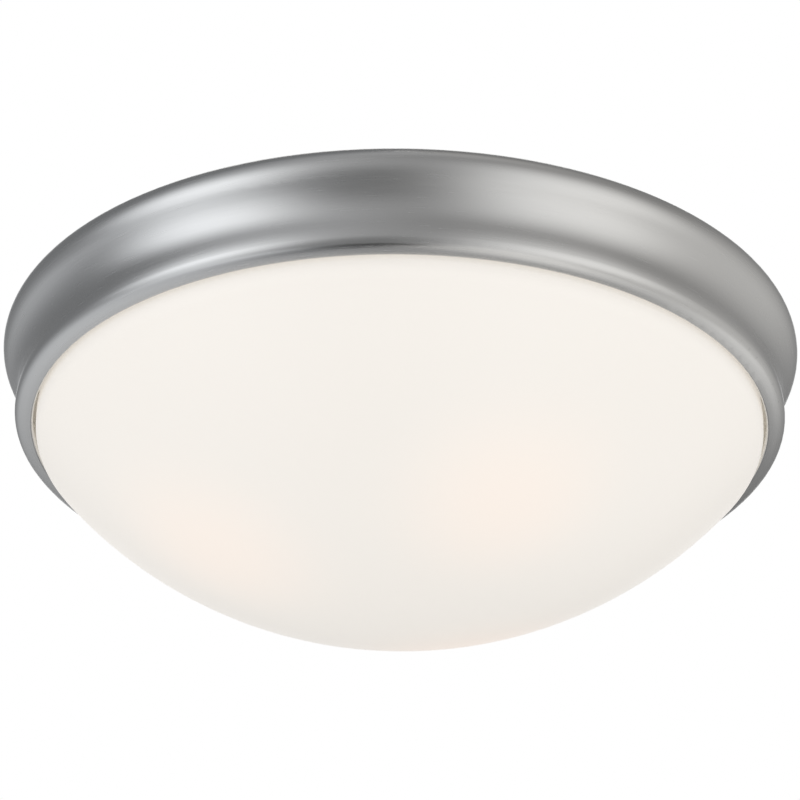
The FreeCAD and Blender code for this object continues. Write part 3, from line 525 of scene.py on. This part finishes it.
# %% [markdown]
# Each lamp is a round bulb of frosted glass on a drawn aluminium screw cap. Below the cap a
# ring of black glass keeps the centre contact, a drop of tin solder, apart from the shell.
# They glow only a little here, as dimmed lamps do, so the glass stays white. Frosting breaks
# every highlight into a blur, drawing leaves the cap streaky, poured glass stays glossy with
# soft waves, and solder is grey and uneven where it set. The frost is finer than a pixel, so
# it is drawn 1.2 mm coarse.

# %% The lamps' finishes
frosted, tree, shader = finish_of("frosted_bulb_glass", "#f6f4ee", roughness=0.35, IOR=1.52)
shader.inputs["Emission Color"].default_value = linear("#fff0dc")
globe_glow = 0.35
shader.inputs["Emission Strength"].default_value = globe_glow
place = add(tree, "ShaderNodeTexCoord")
frost = add(tree, "ShaderNodeTexNoise", {"Vector": place.outputs["Object"],
                                         "Scale": per_mm(1.2), "Detail": 3.0})
frost_bump = add(tree, "ShaderNodeBump", {"Height": frost.outputs["Fac"], "Strength": 0.08,
                                          "Distance": 0.0002})
tree.links.new(frost_bump.outputs[0], shader.inputs["Normal"])
wear(frosted, *(f"lamp_globe_{k}" for k in (1, 2, 3)))

cap_metal, tree, shader = finish_of("drawn_aluminium", "#e3e4e6", metallic=1.0, roughness=0.28)
place = add(tree, "ShaderNodeTexCoord")
drawn = add(tree, "ShaderNodeTexNoise", {"Vector": place.outputs["Object"],
                                         "Scale": per_mm(0.8), "Detail": 2.0})
drawn_range = add(tree, "ShaderNodeMapRange", {"Value": drawn.outputs["Fac"], "From Min": 0.3,
                                               "From Max": 0.7, "To Min": 0.22, "To Max": 0.36})
tree.links.new(drawn_range.outputs[0], shader.inputs["Roughness"])
wear(cap_metal, *(f"lamp_cap_{k}" for k in (1, 2, 3)))
print("lamp finishes made")

# %% Small glass and solder parts of the lamps
black_glass, tree, shader = finish_of("black_cap_glass", "#191a1d", roughness=0.12, IOR=1.55)
place = add(tree, "ShaderNodeTexCoord")
poured = add(tree, "ShaderNodeTexNoise", {"Vector": place.outputs["Object"],
                                          "Scale": per_mm(3.0)})
poured_bump = add(tree, "ShaderNodeBump", {"Height": poured.outputs["Fac"], "Strength": 0.15,
                                           "Distance": 0.0003})
tree.links.new(poured_bump.outputs[0], shader.inputs["Normal"])
wear(black_glass, *(f"lamp_insulator_{k}" for k in (1, 2, 3)))

solder, tree, shader = finish_of("tin_solder", "#c9c8c4", metallic=1.0, roughness=0.38)
place = add(tree, "ShaderNodeTexCoord")
crust = add(tree, "ShaderNodeTexNoise", {"Vector": place.outputs["Object"],
                                         "Scale": per_mm(0.7), "Detail": 3.0})
crust_range = add(tree, "ShaderNodeMapRange", {"Value": crust.outputs["Fac"],
                                               "From Min": 0.35, "From Max": 0.65,
                                               "To Min": 0.25, "To Max": 0.55})
tree.links.new(crust_range.outputs[0], shader.inputs["Roughness"])
wear(solder, *(f"lamp_contact_{k}" for k in (1, 2, 3)))
print("black glass and solder made")

# %% [markdown]
# The lampholders are porcelain, pressed, dried, glazed and fired. A glaze pools a little
# and leaves a wet gloss with faint waves some 7 mm long, and specks of the clay show through
# it. The terminal block is of the same stuff.

# %% Glazed porcelain
porcelain, tree, shader = finish_of("glazed_porcelain", "#f1efe8", roughness=0.14, IOR=1.5)
place = add(tree, "ShaderNodeTexCoord")
waves = add(tree, "ShaderNodeTexNoise", {"Vector": place.outputs["Object"],
                                         "Scale": per_mm(7.0), "Detail": 2.0})
wave_bump = add(tree, "ShaderNodeBump", {"Height": waves.outputs["Fac"], "Strength": 0.2,
                                         "Distance": 0.0006})
tree.links.new(wave_bump.outputs[0], shader.inputs["Normal"])
specks = add(tree, "ShaderNodeTexNoise", {"Vector": place.outputs["Object"],
                                          "Scale": per_mm(1.4), "Detail": 2.0})
speck_colour = add(tree, "ShaderNodeValToRGB", {0: specks.outputs["Fac"]})
speck_colour.color_ramp.elements[0].position = 0.28
speck_colour.color_ramp.elements[0].color = linear("#e2dfd4")
speck_colour.color_ramp.elements[1].position = 0.42
speck_colour.color_ramp.elements[1].color = linear("#f1efe8")
tree.links.new(speck_colour.outputs[0], shader.inputs["Base Color"])
wear(porcelain, "terminal_block", *(f"lampholder_body_{k}" for k in (1, 2, 3)))
print("porcelain made")

# %% [markdown]
# The thin metal parts are all different metals, and their colours tell them apart: nickel
# plated brass for the screw shells, golden brass for the terminal cages, reddish bronze for
# the springy centre contacts, blued grey spring steel for the catches, bluish zinc plate
# for the crossbar and the brackets, and pale aluminium for the rivets. Rolled sheet shows
# faint streaks, zinc plate shows soft cloudy patches, and machined brass fine rings.

# %% Metals of the fittings
metals = {
    # name: colour, roughness from, roughness to, size of its patches in mm
    "nickel_plated_brass": ("#d3cfc2", 0.16, 0.30, 2.0),
    "machined_brass": ("#d9b878", 0.22, 0.38, 0.8),
    "rolled_bronze": ("#c99a6c", 0.25, 0.42, 1.5),
    "spring_steel": ("#a9adb1", 0.24, 0.40, 1.8),
    "zinc_plate": ("#b9bfc6", 0.24, 0.46, 5.0),
    "headed_aluminium": ("#cfd1d4", 0.28, 0.42, 0.9),
    "green_dyed_zinc": ("#2f8a4e", 0.26, 0.40, 1.2),
}
made_metals = {}
for name, (colour, smooth, rough, patch_mm) in metals.items():
    made_metal, tree, shader = finish_of(name, colour, metallic=1.0, roughness=smooth)
    place = add(tree, "ShaderNodeTexCoord")
    patches = add(tree, "ShaderNodeTexNoise", {"Vector": place.outputs["Object"],
                                               "Scale": per_mm(patch_mm), "Detail": 3.0})
    spread = add(tree, "ShaderNodeMapRange", {"Value": patches.outputs["Fac"],
                                              "From Min": 0.3, "From Max": 0.7,
                                              "To Min": smooth, "To Max": rough})
    tree.links.new(spread.outputs[0], shader.inputs["Roughness"])
    dents = add(tree, "ShaderNodeBump", {"Height": patches.outputs["Fac"], "Strength": 0.1,
                                         "Distance": 0.0002})
    tree.links.new(dents.outputs[0], shader.inputs["Normal"])
    made_metals[name] = made_metal
wear(made_metals["nickel_plated_brass"], *(f"screw_shell_{k}" for k in (1, 2, 3)))
wear(made_metals["machined_brass"], "terminal_cages")
wear(made_metals["rolled_bronze"], *(f"centre_contact_{k}" for k in (1, 2, 3)))
wear(made_metals["spring_steel"], *(f"glass_catch_{k}" for k in (1, 2, 3)))
wear(made_metals["zinc_plate"], "mounting_crossbar", "mounting_screws", "lampholder_screws",
     "terminal_screws", "terminal_fixing_screw", *(f"lampholder_bracket_{k}" for k in (1, 2, 3)))
wear(made_metals["headed_aluminium"], "bracket_rivets", "catch_rivets")
wear(made_metals["green_dyed_zinc"], "ground_screw")
print("metals:", ", ".join(made_metals))

# %% [markdown]
# The plastic parts are moulded nylon: a black bushing where the house wires come in, and
# white clips that hold the leads. The leads have a woven glass sleeve, because the space
# over the lamps gets hot, and one of each pair is black and the other white.

# %% Nylon and lead sleeves
plastics = {
    # name: colour, roughness, size of its grain in mm, height of the grain in mm
    "black_nylon": ("#232325", 0.42, 0.5, 0.10),
    "white_nylon": ("#e9e7e0", 0.38, 0.5, 0.08),
    "black_sleeve": ("#1e1e20", 0.62, 0.6, 0.30),
    "white_sleeve": ("#e8e5dc", 0.62, 0.6, 0.30),
}
made_plastics = {}
for name, (colour, roughness, grain_mm, height_mm) in plastics.items():
    made_plastic, tree, shader = finish_of(name, colour, roughness=roughness, IOR=1.53)
    place = add(tree, "ShaderNodeTexCoord")
    grain = add(tree, "ShaderNodeTexVoronoi", {"Vector": place.outputs["Object"],
                                               "Scale": per_mm(grain_mm)})
    weave = add(tree, "ShaderNodeBump", {"Height": grain.outputs["Distance"], "Strength": 0.3,
                                         "Distance": height_mm / 1000})
    tree.links.new(weave.outputs[0], shader.inputs["Normal"])
    made_plastics[name] = made_plastic
wear(made_plastics["black_nylon"], "wire_bushing")
wear(made_plastics["white_nylon"], "lead_clips")
wear(made_plastics["black_sleeve"], *(f"live_lead_{k}" for k in (1, 2, 3)))
wear(made_plastics["white_sleeve"], *(f"neutral_lead_{k}" for k in (1, 2, 3)))
print("plastics:", ", ".join(made_plastics))

# %% [markdown]
# On the back, towards the ceiling, lies a ring of glass wool. It keeps the heat of the lamps
# away from the wires in the ceiling. Real wool is a felt of fibres, cut out of a sheet: flat
# underneath, where it lies on the pan, and a little lumpy and rounded at its cut edges.
# Strands could be grown as hair. From this far off, a rounded ring that noise has dented, with
# a fibrous bump, tells the same story for far fewer faces.

# %% The ring of glass wool
low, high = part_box("insulation_pad")
hole_radius = 0.0600
side_gap, floor_gap, top_gap = 0.0004, 0.0001, 0.0002
pad_outer = high[0] - side_gap
pad_inner = hole_radius + side_gap
pad_floor, pad_top = low[2] + floor_gap, high[2] - top_gap
edge = 0.0030
crown_height = 0.0006
lump_width, lump_depth = 0.018, 0.0011
tuft_width, tuft_depth = 0.003, 0.0004
floor_steps, edge_steps, top_steps = 20, 8, 40


def pad_outline():
    """Radius and height round the section: floor, outer edge, crowned top, inner edge."""
    width = pad_outer - pad_inner
    outline = []
    for i in range(floor_steps + 1):
        outline.append((pad_inner + edge / 3 + (width - edge * 2 / 3) * i / floor_steps,
                        pad_floor))
    for i in range(edge_steps + 1):
        turn = math.radians(90 * i / edge_steps)
        outline.append((pad_outer - edge + edge * math.cos(turn),
                        pad_top - edge + edge * math.sin(turn)))
    for i in range(1, top_steps):
        across = i / top_steps
        crown = crown_height * (2 * across - 1) ** 2
        outline.append((pad_outer - edge - (width - 2 * edge) * across, pad_top - crown))
    for i in range(edge_steps + 1):
        turn = math.radians(90 + 90 * i / edge_steps)
        outline.append((pad_inner + edge + edge * math.cos(turn),
                        pad_top - edge + edge * math.sin(turn)))
    return outline


def dented(radius, height, around):
    """A point of the wool, pressed inwards by wide lumps and narrow tufts, never outwards."""
    place = Vector((radius * math.cos(around), radius * math.sin(around), height))
    lump = 0.5 + 0.5 * noise.noise(place / lump_width)
    tuft = 0.5 + 0.5 * noise.noise(place / tuft_width)
    above = max(0.0, height - pad_floor) / (pad_top - pad_floor)
    sink = (lump_depth * lump + tuft_depth * tuft) * above
    inwards = sink * (1 if radius < (pad_inner + pad_outer) / 2 else -1)
    from_edge = min(radius - pad_inner, pad_outer - radius)
    radius += inwards * max(0.0, 1 - from_edge / (2 * edge))
    return (radius * math.cos(around), radius * math.sin(around), height - sink)


wool_mesh = bpy.data.meshes.new("glass_wool_ring")
builder = bmesh.new()
outline = pad_outline()
segments = 300
rings = []
for k in range(segments):
    around = 2 * math.pi * k / segments
    rings.append([builder.verts.new(dented(r, z, around)) for r, z in outline])
for k in range(segments):
    this, following = rings[k], rings[(k + 1) % segments]
    for i in range(len(outline)):
        j = (i + 1) % len(outline)
        face = builder.faces.new((this[i], following[i], following[j], this[j]))
        face.smooth = True
bmesh.ops.recalc_face_normals(builder, faces=builder.faces[:])
builder.to_mesh(wool_mesh)
builder.free()
wool_ring = bpy.data.objects.new("glass_wool_ring", wool_mesh)
scene.collection.objects.link(wool_ring)
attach(wool_ring, "pan")
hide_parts("insulation_pad")
print("wool ring:", len(wool_mesh.polygons), "faces, top", round(1000 * pad_top, 1), "mm")

# %% [markdown]
# Glass wool is spun from melted glass and held together by a little resin, which turns it
# pale yellow. Its fibres are some hundredths of a millimetre thick, far too fine to show, so
# they are drawn as streaks about 0.6 mm wide and ten times as long, and cloudy patches stand
# for the uneven resin.

# %% Glass wool
wool, tree, shader = finish_of("glass_wool", "#ddd0a0", roughness=0.95, IOR=1.5,
                               Specular_IOR_Level=0.2)
place = add(tree, "ShaderNodeTexCoord")
streak_mm = 0.6
resin_patch_mm = 22.0
layers = []
for turn in (0.35, 1.25, 2.4):
    laid = add(tree, "ShaderNodeMapping", {"Vector": place.outputs["Object"],
                                           "Rotation": (0.1, 0.0, turn),
                                           "Scale": (0.1, 1.0, 1.0)})
    layers.append(add(tree, "ShaderNodeTexNoise", {"Vector": laid.outputs[0],
                                                   "Scale": per_mm(streak_mm),
                                                   "Detail": 4.0, "Roughness": 0.7}))
crossed = add(tree, "ShaderNodeMath", {0: layers[0].outputs["Fac"],
                                       1: layers[1].outputs["Fac"]}, operation="MAXIMUM")
felt = add(tree, "ShaderNodeMath", {0: crossed.outputs[0], 1: layers[2].outputs["Fac"]},
           operation="MAXIMUM")
resin = add(tree, "ShaderNodeTexNoise", {"Vector": place.outputs["Object"],
                                         "Scale": per_mm(resin_patch_mm), "Detail": 3.0})
clouds = add(tree, "ShaderNodeMapRange", {"Value": resin.outputs["Fac"], "From Min": 0.3,
                                          "From Max": 0.7, "To Min": 0.85, "To Max": 1.0})
depth = add(tree, "ShaderNodeMath", {0: felt.outputs[0], 1: clouds.outputs[0]},
            operation="MULTIPLY")
wool_colour = add(tree, "ShaderNodeValToRGB", {0: depth.outputs[0]})
wool_colour.color_ramp.elements[0].position = 0.36
wool_colour.color_ramp.elements[0].color = linear("#c3b27c")
wool_colour.color_ramp.elements[1].position = 0.70
wool_colour.color_ramp.elements[1].color = linear("#efe6c2")
tree.links.new(wool_colour.outputs[0], shader.inputs["Base Color"])
fibres = add(tree, "ShaderNodeBump", {"Height": felt.outputs[0], "Strength": 0.8,
                                      "Distance": 0.0008})
tree.links.new(fibres.outputs[0], shader.inputs["Normal"])
wool_mesh.materials.append(wool)
print("fibre streaks", streak_mm, "mm wide")
